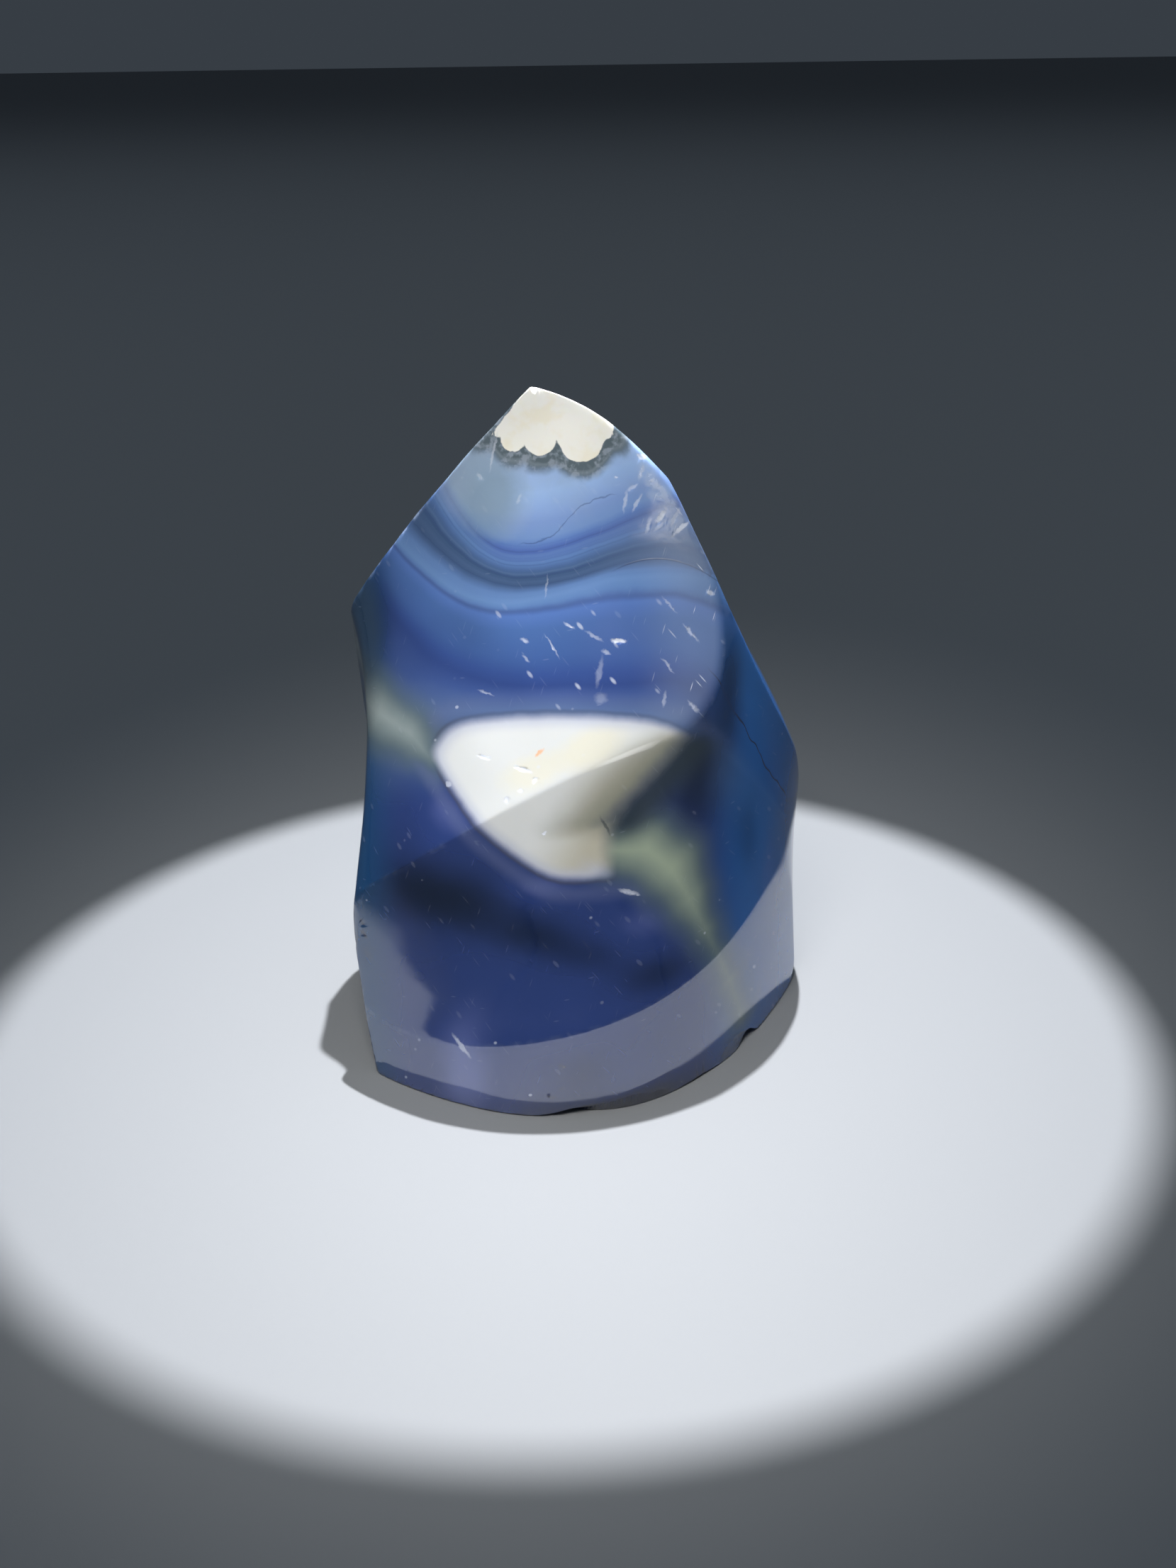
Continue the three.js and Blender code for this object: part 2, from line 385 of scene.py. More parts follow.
def vein_sheet(points):
    """The places of points as seen on the front, for the vein, which climbs towards the back."""
    depth = under_front(points)
    return points[:, 0] + 0.1 * depth, points[:, 2] - 0.35 * depth, depth


# The white body in the vein is bounded by its top edge, two straight edges at the left, a flat foot, and a
# slanting edge at the right. Below that the body is open and fades into the olive vein.
OPENING_SOFTNESS = 0.45
SLANT_SOFTNESS = 0.4


def body_at(points):
    """How far points lie inside the white body, the least distance from its edges, rounded at the corners,
    and how strong the dark line is there: full at the left and the foot, half at the top, none at the right."""
    x, z, depth = vein_sheet(points)
    top = body_top(x) - z
    upper_left = beyond(x, z, (-17.2, 38.6), (-12.7, 33.0))
    lower_left = beyond(x, z, (-12.5, 32.4), (-3.7, 26.6))
    nose = beyond(x, z, (-14.0, 43.7), (-17.0, 39.6))
    left = soft_min(soft_min(upper_left, lower_left, 0.5), nose, 0.5)
    lower = soft_min(left, z - 26.8, 0.5)
    slant = beyond(x, z, (2.1, 32.0), (12.0, 40.7)) * SLANT_SOFTNESS
    opening = (3.0 - x) * OPENING_SOFTNESS
    right = soft_max(slant, np.minimum(opening, 33.0 - z), 0.3)
    body = soft_min(soft_min(top, lower, 0.6), right, 0.3) - 0.1 * depth
    shares = np.exp(-(np.stack([lower, top, right]) - body - 0.1 * depth))
    return body, shares.T @ (1.0, 0.5, 0.0) / shares.sum(axis=0)


# The olive part of the vein is drawn as strokes, each a line of points with the half-width at each point.
OLIVE_STROKES = [
    [
        (3.0, 29.8, 2.6), (6.8, 29.4, 3.6), (9.6, 26.6, 3.6), (11.7, 22.6, 2.5), (13.6, 18.5, 1.5),
        (15.0, 15.3, 0.9), (16.8, 10.5, 1.2), (18.6, 4.0, 1.2),
    ],
    [(-17.0, 38.2, 1.2), (-19.5, 40.4, 2.8), (-24.0, 41.6, 3.6), (-32.0, 43.0, 4.2)],
]


def stroke_at(x, z, stroke):
    """How far (x, z) lies inside a stroke: its half-width, less the distance to the nearest of its lines."""
    inside = np.full(len(x), -60.0)
    for (x0, z0, wide0), (x1, z1, wide1) in zip(stroke[:-1], stroke[1:]):
        length = np.hypot(x1 - x0, z1 - z0)
        share = np.clip(((x - x0) * (x1 - x0) + (z - z0) * (z1 - z0)) / length**2, 0, 1)
        away = np.hypot(x - x0 - share * (x1 - x0), z - z0 - share * (z1 - z0))
        inside = soft_max(inside, wide0 + share * (wide1 - wide0) - away, 0.25)
    return inside


def olive_at(points):
    """How far points lie inside the olive vein."""
    x, z, depth = vein_sheet(points)
    return np.max([stroke_at(x, z, stroke) for stroke in OLIVE_STROKES], axis=0)


# The cap at the tip is a cluster of rounded lobes: the x, z and radius of each. It fills the tip above the level
# where they meet, between a straight left edge and a right end.
CAP_LOBES = [
    (-7.0, 72.2, 1.4),
    (-4.1, 72.3, 1.8),
    (0.4, 72.4, 2.5),
]
CAP_LEVEL = 72.2
CAP_END = 4.0


def cap_at(points):
    """How far points lie inside the cap: over its level and between its sides, or inside one of its lobes."""
    depth = under_front(points)
    x = points[:, 0] + 0.2 * depth
    z = points[:, 2] + 0.1 * depth
    left = beyond(x, z, (-5.2, 77.6), (-8.9, 73.0))
    inside = soft_min(soft_min(z - CAP_LEVEL, CAP_END - x, 0.4), left, 0.2)
    for lobe_x, lobe_z, radius in CAP_LOBES:
        inside = soft_max(inside, radius - np.hypot(x - lobe_x, z - lobe_z), 0.08)
    return inside


# Lighter and darker clouds in the blue: x, z, their radii and how much lighter they are. Some of them are painted
# light: the dark ones under the white body's left end and at the flank are painted shade, the dark ones along the
# base a painted reflection of the shadow on the floor, and the light one low at the left a painted reflection of
# the lit floor.
CLOUDS_SHADE_AND_REFLECTIONS = [
    (-14.5, 23.8, 8.5, 4.2, -1.0),
    (-20.5, 26.0, 4.0, 5.0, -0.4),
    (-5.5, 26.0, 3.6, 1.8, 0.75),
    (6.5, 21.0, 4.2, 2.6, 0.45),
    (-5.0, 20.5, 5.0, 2.4, -0.6),
    (1.0, 18.4, 5.0, 2.2, -0.6),
    (7.5, 15.4, 5.0, 2.2, -0.7),
    (-6.0, 11.5, 9.0, 3.6, 0.18),
    (-17.0, 14.0, 4.0, 6.0, -0.2),
    (12.4, 36.0, 3.8, 6.0, -0.9),
    (17.0, 44.0, 1.5, 7.0, -0.4),
    (-12.0, 52.0, 5.0, 4.0, -0.15),
    (5.0, 51.5, 7.0, 5.0, 0.3),
    (19.3, 27.0, 1.8, 5.5, -0.4),
    (22.4, 36.0, 2.2, 7.0, 0.25),
    (16.8, 22.5, 1.6, 5.0, 0.12),
    (22.0, 21.5, 1.5, 5.0, 0.25),
    (-24.0, 50.0, 3.0, 8.0, -0.7),
    (-15.5, 33.2, 2.6, 2.2, 0.4),
    (-21.5, 33.0, 3.5, 4.0, -0.15),
    (-14.0, 5.0, 3.5, 6.0, 0.6),
    (-1.0, 5.5, 5.0, 3.5, -0.5),
    (-14.0, 1.0, 5.0, 2.5, 0.2),
    (0.0, 0.0, 9.0, 2.6, -0.7),
    (11.0, 0.0, 6.0, 2.6, -0.5),
    (8.0, 8.0, 3.0, 3.0, -0.25),
]


def clouds_shade_and_reflections_at(points):
    """How much lighter the blue is at each point: the sum of the clouds and of the painted shade and
    reflections among them, each a bell over x and z.
    """
    depth = under_front(points)
    x = points[:, 0] + 0.2 * depth + 2 * np.sin(depth / 8)
    z = points[:, 2] - 0.15 * depth
    bells = [
        light * np.exp(-(((x - middle_x) / wide) ** 2) - ((z - middle_z) / tall) ** 2)
        for middle_x, middle_z, wide, tall, light in CLOUDS_SHADE_AND_REFLECTIONS
    ]
    return np.sum(bells, axis=0)


body, outline = body_at(points)
for name, values in (
    ("bands", bands_at(points)),
    ("body", body),
    ("outline", outline),
    ("olive", olive_at(points)),
    ("cap", cap_at(points)),
    ("clouds", clouds_shade_and_reflections_at(points)),
    ("depth", under_front(points)),
    ("ridge", drawn_to_ridges(points)[1]),
    ("front", cuts_at(points)[0] - cuts_at(points)[1]),
):
    layer = stone_mesh.attributes.new(name, "FLOAT", "POINT")
    layer.data.foreach_set("value", values.astype(np.float32))


class Signal:
    """The output of a shader node. Sums and products of signals and numbers add Math nodes."""

    def __init__(self, tree, socket):
        self.tree = tree
        self.socket = socket

    def maths(self, operation, *values):
        return add_node(self.tree, "ShaderNodeMath", dict(operation=operation), dict(enumerate(values)))

    def __add__(self, other):
        return self.maths("ADD", self, other)

    def __radd__(self, other):
        return self.maths("ADD", other, self)

    def __sub__(self, other):
        return self.maths("SUBTRACT", self, other)

    def __rsub__(self, other):
        return self.maths("SUBTRACT", other, self)

    def __mul__(self, other):
        return self.maths("MULTIPLY", self, other)

    def __rmul__(self, other):
        return self.maths("MULTIPLY", other, self)

    def __truediv__(self, other):
        return self.maths("DIVIDE", self, other)

    def __abs__(self):
        return self.maths("ABSOLUTE", self)


def add_node(tree, kind, settings, inputs, output=0):
    """A node of that kind with its settings, its inputs set or linked, and the signal of one output. The
    setting stops fills a ramp with positions and colours."""
    node = tree.nodes.new(kind)
    for name, value in settings.items():
        if name == "stops":
            ramp = node.color_ramp
            while len(ramp.elements) < len(value):
                ramp.elements.new(1)
            for element, (position, colour) in zip(ramp.elements, value):
                element.position = position
                element.color = colour
        else:
            setattr(node, name, value)
    for name, value in inputs.items():
        if isinstance(value, Signal):
            tree.links.new(value.socket, node.inputs[name])
        else:
            node.inputs[name].default_value = value
    return Signal(tree, node.outputs[output])


def tone(red, green, blue):
    """A colour from its three parts between 0 and 255 as a screen shows them."""
    parts = np.array([red, green, blue]) / 255
    linear = np.where(parts <= 0.04045, parts / 12.92, ((parts + 0.055) / 1.055) ** 2.4)
    return (*linear.tolist(), 1.0)


agate = bpy.data.materials.new("polished_agate")
agate.use_nodes = True
tree = agate.node_tree
tree.nodes.clear()


def node(kind, settings, inputs, output=0):
    return add_node(tree, kind, settings, inputs, output)


def marking(name):
    return node("ShaderNodeAttribute", dict(attribute_name=name), {}, "Fac")


def rise(value, low, high):
    """0 below low and 1 above high, with a smooth step between them."""
    settings = dict(interpolation_type="SMOOTHSTEP")
    return node("ShaderNodeMapRange", settings, {"Value": value, "From Min": low, "From Max": high})


def hump(value, middle, reach):
    """1 at the middle and 0 further than reach from it."""
    return 1 - rise(abs(value - middle), 0.0, reach)


def mixed(first, second, share):
    """A colour that goes from first to second as share goes from 0 to 1."""
    settings = dict(data_type="RGBA", clamp_factor=True)
    return node("ShaderNodeMix", settings, {0: share, 6: first, 7: second}, 2)


def noise(scale, detail=2.0):
    """Noise between about 0 and 1 with so many waves to the millimetre."""
    return node("ShaderNodeTexNoise", {}, {"Vector": place, "Scale": scale / MILLIMETRE, "Detail": detail})


def spot(x, z, length, width, climb=0.0, strength=1.0):
    """A soft ellipse on the front about (x, z): strength over its inner half, and 0 past its edge."""
    inputs = {
        "Vector": uneven_place,
        "Location": (x * MILLIMETRE, 0, z * MILLIMETRE),
        "Rotation": (0, -np.radians(climb), 0),
        "Scale": (length / 2 * MILLIMETRE, 1, width / 2 * MILLIMETRE),
    }
    inside = node("ShaderNodeMapping", dict(vector_type="TEXTURE"), inputs)
    away = node("ShaderNodeVectorMath", dict(operation="LENGTH"), {0: inside}, "Value")
    return node("ShaderNodeMapRange", {}, {"Value": away, "From Min": 1.1, "From Max": 0.5, "To Max": strength})


def scratches(climb, length, width, share):
    """Fine straight scratches that climb to the right: the cores of long thin cells, of which a share shows."""
    inputs = {
        "Vector": place,
        "Rotation": (0, -np.radians(climb), 0),
        "Scale": (length * MILLIMETRE, length * MILLIMETRE, width * MILLIMETRE),
    }
    thin = node("ShaderNodeMapping", dict(vector_type="TEXTURE"), inputs)
    cells = node("ShaderNodeTexVoronoi", {}, {"Vector": thin, "Scale": 1.0}, "Distance")
    colours = Signal(tree, cells.socket.node.outputs["Color"])
    picks = node("ShaderNodeSeparateColor", {}, {"Color": colours}, "Red")
    return (1 - rise(cells, 0.12, 0.3)) * rise(picks, 1 - share, 1.02 - share)


place = node("ShaderNodeTexCoord", {}, {}, "Object")
bend = node("ShaderNodeTexNoise", {}, {"Vector": place, "Scale": 1.6 / MILLIMETRE, "Detail": 3.0}, "Color")
bend = node("ShaderNodeVectorMath", dict(operation="SUBTRACT"), {0: bend, 1: (0.5, 0.5, 0.5)})
bend = node("ShaderNodeVectorMath", dict(operation="SCALE"), {0: bend, "Scale": 0.6 * MILLIMETRE})
uneven_place = node("ShaderNodeVectorMath", {}, {0: place, 1: bend})
place_x = node("ShaderNodeSeparateXYZ", {}, {"Vector": place}, "X") * (1 / MILLIMETRE)
place_z = node("ShaderNodeSeparateXYZ", {}, {"Vector": place}, "Z") * (1 / MILLIMETRE)
bands = marking("bands")
body = marking("body")
outline = marking("outline")
olive = marking("olive")
cap = marking("cap")
clouds = marking("clouds")
ridge = marking("ridge")
depth = marking("depth")
on_front = 1 - rise(depth, 0.5, 1.5)
front_gap = marking("front")
front_face = rise(front_gap, -0.1, 0.3) * on_front

# The blue from the white body's edge up to the cap, by the height of the bands.
BAND_TONES = [
    (36.0, (53, 78, 128)),
    (44.0, (71, 89, 126)),
    (44.9, (78, 99, 142)),
    (46.2, (55, 77, 133)),
    (47.1, (43, 64, 122)),
    (48.2, (48, 72, 133)),
    (50.0, (60, 89, 147)),
    (52.5, (68, 99, 156)),
    (53.9, (80, 111, 175)),
    (54.4, (68, 92, 146)),
    (54.8, (90, 122, 175)),
    (55.3, (99, 132, 183)),
    (56.2, (92, 123, 175)),
    (57.1, (60, 83, 121)),
    (57.5, (66, 89, 126)),
    (57.9, (58, 82, 119)),
    (58.3, (66, 91, 131)),
    (58.8, (72, 100, 148)),
    (59.3, (89, 121, 175)),
    (60.0, (86, 115, 175)),
    (60.6, (75, 101, 166)),
    (61.2, (91, 121, 184)),
    (61.9, (110, 140, 192)),
    (63.4, (120, 147, 199)),
    (66.5, (156, 187, 235)),
    (70.0, (165, 191, 235)),
]
LOWEST_BAND = BAND_TONES[0][0]
HIGHEST_BAND = BAND_TONES[-1][0]

wobble = (noise(0.11, 3.0) - 0.5) * 0.8 + (noise(0.6) - 0.5) * 0.1
wavy = bands + wobble
span = {"Value": wavy, "From Min": LOWEST_BAND, "From Max": HIGHEST_BAND}
band_stops = [((b - LOWEST_BAND) / (HIGHEST_BAND - LOWEST_BAND), tone(*parts)) for b, parts in BAND_TONES]
blue = node("ShaderNodeValToRGB", dict(stops=band_stops), {0: node("ShaderNodeMapRange", {}, span)})

# Very fine lines run along the bands, some paler and some darker.
FINE_LINES = 2.2
LINE_DARK = tone(44, 62, 112)
LINE_PALE = tone(128, 156, 196)
fine = node("ShaderNodeTexNoise", dict(noise_dimensions="1D"), {"W": wavy, "Scale": FINE_LINES, "Detail": 3.0})
banded = rise(bands, 55.5, 57.0) * (1 - rise(bands, 60.5, 62.0))
blue = mixed(blue, LINE_DARK, rise(fine, 0.5, 0.8) * 0.35 * banded)
blue = mixed(blue, LINE_PALE, (1 - rise(fine, 0.2, 0.5)) * 0.1 * banded)

# The bands are paler and greyer at their right end: partly scratched polish, partly a painted sheen.
SHEEN_AND_SCRATCHES = tone(112, 130, 168)
blue = mixed(blue, SHEEN_AND_SCRATCHES, rise(place_x, -1.0, 9.0) * banded * 0.35)

# Below the white body the blue is deeper and has no bands, only clouds, some of them painted shade and painted
# reflections. Towards the sides it turns to teal, a painted reflection of blue surroundings, and behind it is
# deeper all over.
DEEP_BLUE = tone(36, 54, 108)
NEAR_BLACK = tone(10, 22, 46)
VIOLET = tone(98, 110, 168)
REFLECTED_TEAL = tone(22, 92, 164)
DARK_REFLECTED_TEAL = tone(14, 60, 98)
below = 1 - rise(bands, 36.0, 43.0)
soft_clouds_shade_and_reflections = clouds + (noise(0.09) - 0.5) * 0.5
# Just behind the ridge between the front and the flank the blue is darkened, a painted shade.
soft_clouds_shade_and_reflections = soft_clouds_shade_and_reflections - hump(front_gap, 0.0, 1.6) * rise(place_x, 11.0, 14.0) * (1 - front_face) * 0.4
blue = mixed(blue, DEEP_BLUE, below)
blue = mixed(blue, REFLECTED_TEAL, rise(place_x, 12.0, 20.0) * (1 - front_face) * 0.75)
blue = mixed(blue, DEEP_BLUE, rise(depth, 0.2, 2.5) * 0.45)
blue = mixed(blue, NEAR_BLACK, rise(0 - soft_clouds_shade_and_reflections, -0.1, 1.2))
blue = mixed(blue, VIOLET, rise(soft_clouds_shade_and_reflections, 0.05, 1.1))
# At the far left it darkens to a deeper teal, also a painted reflection of blue surroundings.
blue = mixed(blue, DARK_REFLECTED_TEAL, (1 - rise(place_x, -26.0, -20.5)) * 0.8)

# Under the cap hangs a grey haze with a clearer, greener spot in it.
PALE_HAZE = tone(148, 168, 190)
CLEAR_GREEN = tone(92, 124, 148)
misty = rise(noise(0.16, 3.0), 0.4, 0.7) * rise(bands, 61.0, 65.0)
blue = mixed(blue, PALE_HAZE, misty * 0.5)
blue = mixed(blue, PALE_HAZE, spot(-11.0, 67.5, 10.0, 13.0, 50, 0.8))
blue = mixed(blue, CLEAR_GREEN, spot(-9.8, 65.4, 7.0, 11.0, -30, 0.3))

# The olive vein: grey green at its edges, yellow green in its core, and only a grey haze at the left.
GREY_GREEN = tone(80, 96, 102)
YELLOW_GREEN = tone(148, 162, 144)
GREY_HAZE = tone(160, 172, 172)
LEFT_DUSK = tone(50, 66, 84)
olive_edge = olive + (noise(0.18) - 0.5) * 1.2
at_left = 1 - rise(place_x, -14.0, -10.0)
core = mixed(YELLOW_GREEN, GREY_HAZE, at_left)
colour = mixed(blue, GREY_GREEN, rise(olive_edge, -2.6, 1.6) * 0.9)
colour = mixed(colour, core, rise(olive_edge, -0.2, 4.4) * (1 - at_left * 0.3))
colour = mixed(colour, LEFT_DUSK, spot(-25.0, 49.0, 5.0, 18.0, 0, 0.6))

# The white body: round it a faint haze, then a thin dark line, then white with a blue rim and a cream cloud.
HAZE = tone(92, 102, 140)
DARK_LINE = tone(66, 70, 88)
MILK_BLUE = tone(172, 178, 198)
MILK = tone(201, 205, 209)
SHADED_MILK = tone(172, 170, 158)
DUSK = tone(40, 50, 58)
CREAM = tone(208, 205, 186)
SHADE = tone(108, 112, 102)
closed = 1 - rise(olive, -0.6, 0.8)
body_edge = body + (noise(0.5) - 0.5) * 0.25
colour = mixed(colour, HAZE, hump(body_edge, -1.4, 1.6) * closed * outline * 0.35)
colour = mixed(colour, DARK_LINE, hump(body_edge, -0.2, 0.36) * closed * outline * 0.65)
milk = mixed(MILK, CREAM, spot(0.8, 41.0, 9.0, 4.4, 20, 0.6))
milk = mixed(milk, CREAM, spot(-5.6, 38.6, 9.0, 3.8, 22, 0.5))
# Low down and towards the right the white turns greyer, a painted shade under the ridge, and its rim along the
# slanting edge is grey too.
milk = mixed(milk, SHADED_MILK, rise(place_x - place_z * 0.5, -22.0, -14.0) * (1 - rise(place_z, 36.0, 44.0)))
milk_rim = mixed(SHADED_MILK, MILK_BLUE, rise(outline, 0.1, 0.5))
milk = mixed(milk_rim, milk, rise(body_edge, 0.1, 2.0))
at_slant = 1 - rise(outline, 0.05, 0.35)
milk = mixed(milk, SHADE, (1 - rise(body_edge, 0.2, 2.8)) * at_slant * rise(place_z, 30.5, 33.5) * 0.8)
colour = mixed(colour, DUSK, hump(body_edge, -0.4, 1.6) * at_slant * rise(place_z, 30.0, 33.0) * 0.9)
colour = mixed(colour, milk, rise(body_edge, -0.3, 0.9))

# The cap: chalky white with faint cream, over a slate rim with pale streaks.
SLATE = tone(94, 108, 118)
PALE_SLATE = tone(150, 162, 178)
CHALK = tone(252, 252, 248)
CHALK_CREAM = tone(248, 242, 222)
cap_edge = cap + (noise(1.3) - 0.5) * 0.35
rim_edge = cap + (noise(0.45, 3.0) - 0.5) * 1.1
streaks = noise(1.1, 4.0)
slate = mixed(SLATE, PALE_SLATE, rise(streaks, 0.48, 0.66) * 0.8)
slate = mixed(slate, PALE_SLATE, hump(rim_edge, -1.0, 0.35) * 0.35)
colour = mixed(colour, slate, rise(rim_edge, -2.3, -1.0))
chalk = mixed(CHALK, CHALK_CREAM, rise(noise(0.45, 3.0), 0.42, 0.65) * 0.6)
colour = mixed(colour, chalk, rise(cap_edge, -0.06, 0.06))

# Two hairline cracks: one wanders under the cap, and one runs down the flank.
CRACK = tone(30, 40, 72)
steep = node("ShaderNodeMath", dict(operation="TANH"), {0: (place_x + 1.3) * 0.6})
front_line = 64.2 + place_x * 0.2 + steep * 1.6 + (noise(0.9) - 0.5) * 0.7
front_crack = hump(place_z - front_line, 0.0, 0.13) * rise(place_x, -7.0, -5.5) * (1 - rise(place_x, 3.0, 4.5))
flank_line = 15.8 + (44.8 - place_z) * 0.53 + (noise(0.3, 1.0) - 0.5) * 1.4
flank_crack = hump(place_x - flank_line, 0.0, 0.12) * rise(place_z, 25.0, 27.0) * (1 - rise(place_z, 46.0, 48.0))
band_line = 59.7 - (place_x - 7.8) * (place_x - 7.8) * 0.055
band_crack = hump(place_z - band_line, 0.0, 0.14) * rise(place_x, 3.0, 5.5)
cracks = (front_crack * 0.4 + band_crack * 0.5 + flank_crack) * on_front
colour = mixed(colour, CRACK, cracks)

# The flecks are dull and pale, with a rusty one in the white body. Fine scratches lie across all faces.
FLECK = tone(200, 208, 226)
RUST = tone(226, 160, 110)
PIT = tone(52, 54, 72)
FROST_AND_SHEEN = tone(186, 200, 224)
flecks, pits = 0.0, 0.0
for x, z, length, width, climb, _, paleness in FLECKS:
    fleck = spot(x, z, length, width, climb, abs(paleness))
    if paleness > 0:
        flecks = node("ShaderNodeMath", dict(operation="MAXIMUM"), {0: flecks, 1: fleck})
    else:
        pits = node("ShaderNodeMath", dict(operation="MAXIMUM"), {0: pits, 1: fleck})
flecks = flecks * on_front * 0.85
colour = mixed(colour, RUST, spot(-4.9, 40.5, 1.5, 0.5, 40, 0.7) * on_front)
colour = mixed(colour, PIT, pits * on_front)
colour = mixed(colour, DUSK, spot(2.2, 32.6, 2.4, 0.4, -62, 0.6) * on_front)
# The front is worn and scratched at its right, with a frosted patch near its top right. Both are paler, partly from
# the wear and partly a painted sheen.
worn_and_sheen = rise(place_x, 5.0, 13.0) * rise(place_z, 40.0, 44.0) * front_face
frost_and_sheen = spot(9.8, 67.2, 10.0, 4.6, -57, 1.0) * rise(noise(1.2, 4.0), 0.3, 0.65) * front_face
edge_wear = (1 - rise(ridge, 0.05, 0.5)) * rise(noise(0.8, 3.0), 0.4, 0.7) * (0.15 + rise(place_z, 52.0, 60.0) * (1 - rise(place_x, -4.0, 2.0)))
fine_scratches = scratches(-50, 3.0, 0.3, 0.1) * (0.08 + worn_and_sheen)
fine_scratches = fine_scratches + scratches(70, 2.5, 0.25, 0.08) * (0.08 + worn_and_sheen)
fine_scratches = fine_scratches + scratches(10, 1.6, 0.3, 0.03) * 0.15
scuffed = spot(-1.0, 51.0, 24.0, 15.0, -25, 1.0) * front_face + worn_and_sheen + spot(18.0, 9.0, 8.0, 6.0, 0.0, 0.8) * on_front
nicks = scratches(-48, 2.2, 0.9, 0.12) * (0.06 + scuffed * 0.5)
specks = scratches(25, 1.0, 0.8, 0.015) * on_front * 0.6
colour = mixed(colour, FROST_AND_SHEEN, frost_and_sheen * 0.4 + edge_wear * 0.25 + worn_and_sheen * 0.16)
colour = mixed(colour, FLECK, flecks + fine_scratches * 0.5 + nicks + specks)

# Where the polish is worn or knocked, the surface is a little duller and not quite even.
dullness = 0.03 + noise(0.3, 3.0) * 0.05 + flecks * 0.4 + fine_scratches * 0.2 + worn_and_sheen * 0.06 + frost_and_sheen * 0.3
dullness = dullness + edge_wear * 0.3
height = noise(0.35) * 0.5 + worn_and_sheen * noise(1.2) * 0.4 - fine_scratches * 0.15 - cracks * 0.3 + frost_and_sheen * 0.3
relief = {"Height": height, "Strength": 1.0, "Distance": 0.00002}
normal = node("ShaderNodeBump", {}, relief)

shader = node(
    "ShaderNodeBsdfPrincipled",
    {},
    {
        "Base Color": colour,
        "Roughness": dullness,
        "Normal": normal,
        "IOR": 1.85,
        "Specular IOR Level": 1.0,
        "Subsurface Weight": 0.08,
        "Subsurface Radius": (0.7, 0.9, 1.3),
        "Subsurface Scale": 0.0008,
    },
)
output = tree.nodes.new("ShaderNodeOutputMaterial")
tree.links.new(shader.socket, output.inputs["Surface"])

stone = bpy.data.objects.new("agate_freeform", stone_mesh)
bpy.context.scene.collection.objects.link(stone)
stone_mesh.materials.append(agate)
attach(stone, "root")
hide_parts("stone")

# The floor
# A plain pale surface that runs to the horizon.
FLOOR_REACH = 30.0
FLOOR_DROP = 0.0001
floor_mesh = bpy.data.meshes.new("floor")
corners = [(-1, -1), (1, -1), (1, 1), (-1, 1)]
floor_mesh.from_pydata([(x * FLOOR_REACH, y * FLOOR_REACH, -FLOOR_DROP) for x, y in corners], [], [(0, 1, 2, 3)])
floor = bpy.data.objects.new("floor", floor_mesh)
bpy.context.scene.collection.objects.link(floor)
pale = bpy.data.materials.new("pale_floor")
pale.use_nodes = True
pale.node_tree.nodes["Principled BSDF"].inputs["Base Color"].default_value = tone(114, 117, 122)
pale.node_tree.nodes["Principled BSDF"].inputs["Roughness"].default_value = 0.6
floor_mesh.materials.append(pale)

# The lights
# A small lamp behind and high lights a round pool and throws the short shadow, a soft one at the front fills it.
# A strip at the right puts a sheen on the front's edge, and a dim room fills the rest.
POOL_MIDDLE = Vector((-0.0029, 0.0009, 0.0))
POOL_RADIUS = 0.072
STONE_MIDDLE = Vector((0.0, 0.0, 0.06))


def pool_lamp(name, place, energy, radius, blend, colour):
    """A spot lamp aimed at the middle of the pool, with a cone as wide as the pool."""
    data = bpy.data.lights.new(name, "SPOT")
    data.energy = energy
    data.color = colour
    data.shadow_soft_size = radius
    to_pool = POOL_MIDDLE - place
    data.spot_size = 2 * np.arctan(POOL_RADIUS / to_pool.length)
    data.spot_blend = blend
    lamp = bpy.data.objects.new(name, data)
    lamp.location = place
    lamp.rotation_euler = to_pool.to_track_quat("-Z", "Y").to_euler()
    bpy.context.scene.collection.objects.link(lamp)


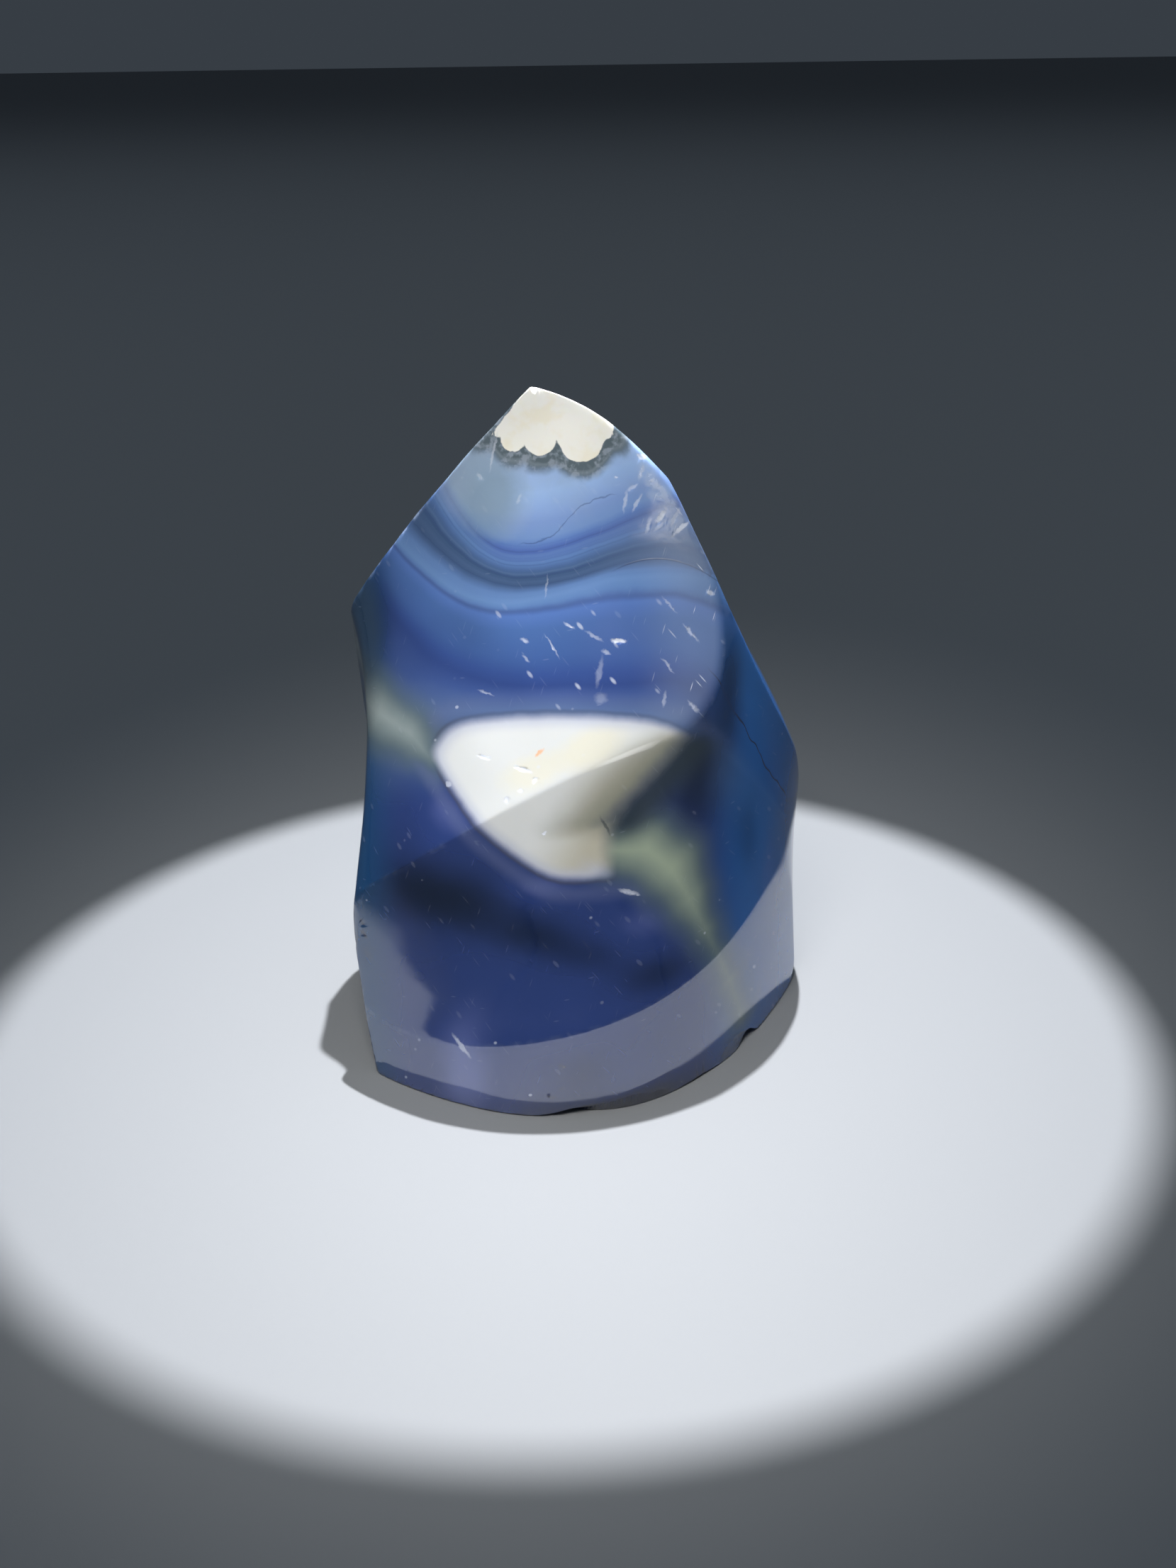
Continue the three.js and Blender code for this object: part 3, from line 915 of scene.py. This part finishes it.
def soft_box(name, place, size, roll, energy, spread, colour):
    """A soft rectangular light aimed at the stone's middle and rolled about that line."""
    data = bpy.data.lights.new(name, "AREA")
    data.shape = "RECTANGLE"
    data.size, data.size_y = size
    data.energy = energy
    data.color = colour
    data.spread = spread
    lamp = bpy.data.objects.new(name, data)
    lamp.location = place
    lamp.rotation_euler = (STONE_MIDDLE - place).to_track_quat("-Z", "Y").to_euler()
    lamp.rotation_euler.rotate_axis("Z", roll)
    bpy.context.scene.collection.objects.link(lamp)


pool_lamp("small_lamp", Vector((0.025, 0.125, 0.5)), 30.0, 0.004, 0.03, (1.0, 1.0, 1.0))
pool_lamp("front_lamp", Vector((-0.03, -0.15, 0.2)), 2.4, 0.04, 0.1, (1.0, 0.96, 0.88))
soft_box("strip", Vector((0.75, -1.3, 0.393)), (0.78, 0.264), np.radians(-16), 0.035, np.radians(40), (1, 1, 1))
soft_box("room", Vector((0.0, 0.0, 2.5)), (3.0, 3.0), 0, 22.0, np.pi, (0.8, 0.92, 1.0))

world = bpy.data.worlds.new("room")
world.use_nodes = True
world.node_tree.nodes["Background"].inputs["Color"].default_value = (0.66, 0.81, 1.0, 1.0)
world.node_tree.nodes["Background"].inputs["Strength"].default_value = 0.058
bpy.context.scene.world = world
bpy.context.scene.view_settings.view_transform = "Standard"

# The camera
# It looks down at the banded front from a little over half a metre's arm, as the picture was taken.
CAMERA_PLACE = Vector((-0.0029, -0.18664, 0.11038))
CAMERA_AIM = Vector((0.0176, 0.9195, -0.3926)).normalized()
CAMERA_UP = Vector((0.0221, 0.3922, 0.9196))
camera_data = bpy.data.cameras.new("camera")
camera_data.sensor_width = 36.0
camera_data.lens = 39.06
camera_data.clip_start = 0.005
camera = bpy.data.objects.new("camera", camera_data)
right = CAMERA_AIM.cross(CAMERA_UP).normalized()
up = right.cross(CAMERA_AIM)
turn = Matrix((right, up, -CAMERA_AIM)).transposed()
camera.matrix_world = Matrix.Translation(CAMERA_PLACE) @ turn.to_4x4()
bpy.context.scene.collection.objects.link(camera)
bpy.context.scene.camera = camera
